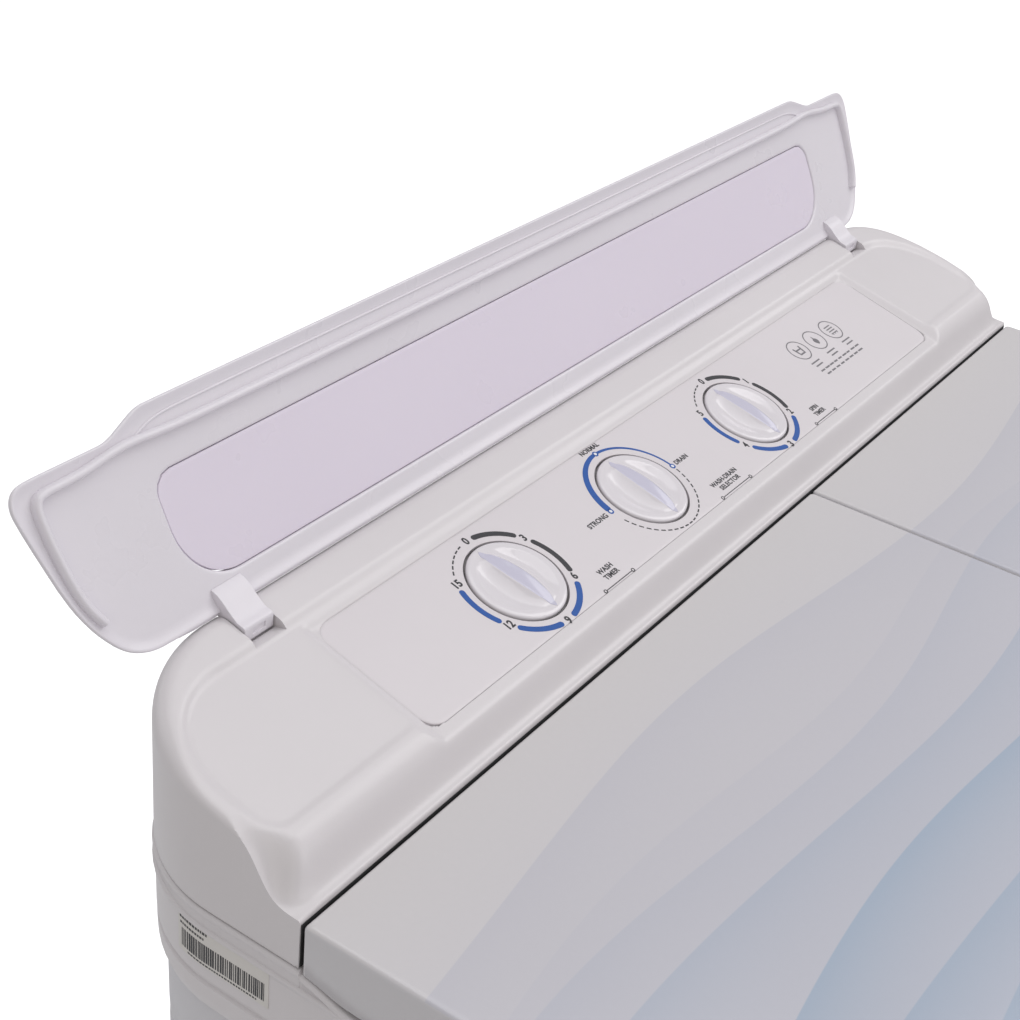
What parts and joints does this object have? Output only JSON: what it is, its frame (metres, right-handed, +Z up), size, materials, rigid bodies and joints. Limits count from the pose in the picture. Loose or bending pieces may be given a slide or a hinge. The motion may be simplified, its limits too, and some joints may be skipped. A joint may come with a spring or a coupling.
{
  "type": "twin tub washer",
  "caption": "Top-loading twin tub washing machine: wash tub with pulsator beside a spin basket, two hinged lids, rear console with rotary controls under a flip-up cover.",
  "frame": {"origin": "centre of the machine's plan box at floor level, with the console cover open and both lids shut", "axes": "+X to the right seen from the front, +Y to the rear (console side), +Z up"},
  "size_m": [0.86, 0.5616, 1.0863],
  "materials": {
    "white_shell": "semi-gloss injection-moulded white plastic, faint fine texture",
    "cabinet_shell": "satin moulded white plastic",
    "lid_plastic": "clear-coated pale grey panel with soft blue wave print",
    "knob_plastic": "polished white plastic",
    "tub_plastic": "pale polypropylene",
    "blue_plastic": "blue polypropylene",
    "dark_plastic": "dark moulded plastic",
    "rubber": "matt black rubber",
    "grey_hose": "ribbed grey hose",
    "steel": "bright turned steel",
    "stainless": "brushed stainless sheet with drain holes",
    "zinc_plate": "zinc-plated sheet",
    "cast_aluminium": "die-cast aluminium",
    "motor_enamel": "dark enamel",
    "brass": "plain brass",
    "label_stock": "matt label film"
  },
  "bodies": {
    "frame": {"console_housing": "white_shell", "control_panel": "white_shell", "top_frame": "white_shell", "cabinet_body": "cabinet_shell", "wash_tub": "tub_plastic", "spin_outer_tub": "tub_plastic", "overflow_guard": "tub_plastic", "base_tray": "dark_plastic", "drain_valve_body": "dark_plastic", "wash_timer": "dark_plastic", "selector_switch": "dark_plastic", "spin_timer": "dark_plastic", "foot_front_left": "rubber", "foot_front_right": "rubber", "foot_rear_left": "rubber", "foot_rear_right": "rubber", "drive_belt": "rubber", "bellows_seal": "rubber", "drain_hose": "grey_hose", "water_inlet_left": "grey_hose", "cover_pin_left": "steel", "cover_pin_right": "steel", "wash_lid_hinge_rod": "steel", "spin_lid_hinge_rod": "steel", "mount_spring_1": "steel", "mount_spring_2": "steel", "mount_spring_3": "steel", "back_cover": "zinc_plate", "back_screw_1": "zinc_plate", "back_screw_2": "zinc_plate", "brake_pivot_post": "zinc_plate", "wash_motor_bracket": "zinc_plate", "pulsator_bearing_housing": "cast_aluminium", "run_capacitor": "cast_aluminium", "wash_motor": "motor_enamel", "spin_motor": "motor_enamel", "spin_shaft_bush": "brass", "side_label": "label_stock"},
    "console_cover": {"console_cover": "white_shell"},
    "wash_lid": {"wash_lid": "lid_plastic"},
    "spin_lid": {"spin_lid": "lid_plastic"},
    "wash_timer_knob": {"wash_timer_knob": "knob_plastic", "wash_timer_shaft": "brass"},
    "selector_knob": {"wash_drain_selector_knob": "knob_plastic", "selector_shaft": "brass"},
    "spin_timer_knob": {"spin_timer_knob": "knob_plastic", "spin_timer_shaft": "brass"},
    "pulsator": {"pulsator": "blue_plastic", "pulsator_shaft": "steel", "wash_pulley": "cast_aluminium"},
    "motor_pulley": {"motor_pulley": "cast_aluminium", "wash_motor_shaft": "steel"},
    "spin_rotor": {"spin_basket": "stainless", "spin_shaft": "steel", "brake_drum": "cast_aluminium", "shaft_coupling": "steel", "basket_cover": "blue_plastic"},
    "brake_arm": {"brake_arm": "zinc_plate"},
    "drain_plunger": {"drain_valve_plunger": "rubber"},
    "lint_filter": {"lint_filter": "blue_plastic"}
  },
  "joints": [
    {"name": "cover_hinge", "type": "hinge", "parent": "frame", "child": "console_cover", "pos_m": [0, 0.21415, 0.9805], "axis": [1, 0, 0], "range_deg": [0, 132]},
    {"name": "wash_lid_hinge", "type": "hinge", "parent": "frame", "child": "wash_lid", "pos_m": [-0.177, 0.08715, 0.924], "axis": [-1, 0, 0], "range_deg": [0, 90]},
    {"name": "spin_lid_hinge", "type": "hinge", "parent": "frame", "child": "spin_lid", "pos_m": [0.252, 0.08715, 0.924], "axis": [-1, 0, 0], "range_deg": [0, 90]},
    {"name": "wash_timer_turn", "type": "hinge", "parent": "frame", "child": "wash_timer_knob", "pos_m": [-0.1849, 0.15455, 0.96189], "axis": [0, 0.2588, -0.9659], "range_deg": [0, 300]},
    {"name": "selector_turn", "type": "hinge", "parent": "frame", "child": "selector_knob", "pos_m": [-0.0508, 0.15455, 0.96189], "axis": [0, 0.2588, -0.9659], "range_deg": [-90, 90]},
    {"name": "spin_timer_turn", "type": "hinge", "parent": "frame", "child": "spin_timer_knob", "pos_m": [0.0828, 0.15455, 0.96189], "axis": [0, 0.2588, -0.9659], "range_deg": [0, 300]},
    {"name": "pulsator_turn", "type": "hinge", "parent": "frame", "child": "pulsator", "pos_m": [-0.172, -0.085, 0.43], "axis": [0, 0, 1], "continuous": true},
    {"name": "motor_pulley_turn", "type": "hinge", "parent": "frame", "child": "motor_pulley", "pos_m": [-0.11, 0.092, 0.282], "axis": [0, 0, 1], "continuous": true},
    {"name": "spin_rotor_turn", "type": "hinge", "parent": "frame", "child": "spin_rotor", "pos_m": [0.25, -0.09, 0.412], "axis": [0, 0, 1], "continuous": true},
    {"name": "brake_swing", "type": "hinge", "parent": "frame", "child": "brake_arm", "pos_m": [0.344, -0.01301, 0.28], "axis": [0, 0, 1], "range_deg": [0, 2.8]},
    {"name": "drain_plunger_lift", "type": "slide", "parent": "frame", "child": "drain_plunger", "axis": [0, 0, 1], "range_m": [0, 0.012]},
    {"name": "lint_filter_slide", "type": "slide", "parent": "frame", "child": "lint_filter", "axis": [0, 0, 1], "range_m": [0, 0.06]}
  ],
  "couplings": [
    {"joint": "motor_pulley_turn", "follows": "pulsator_turn", "ratio": 3.1672},
    {"joint": "brake_swing", "follows": "spin_lid_hinge", "ratio": 0.031}
  ]
}
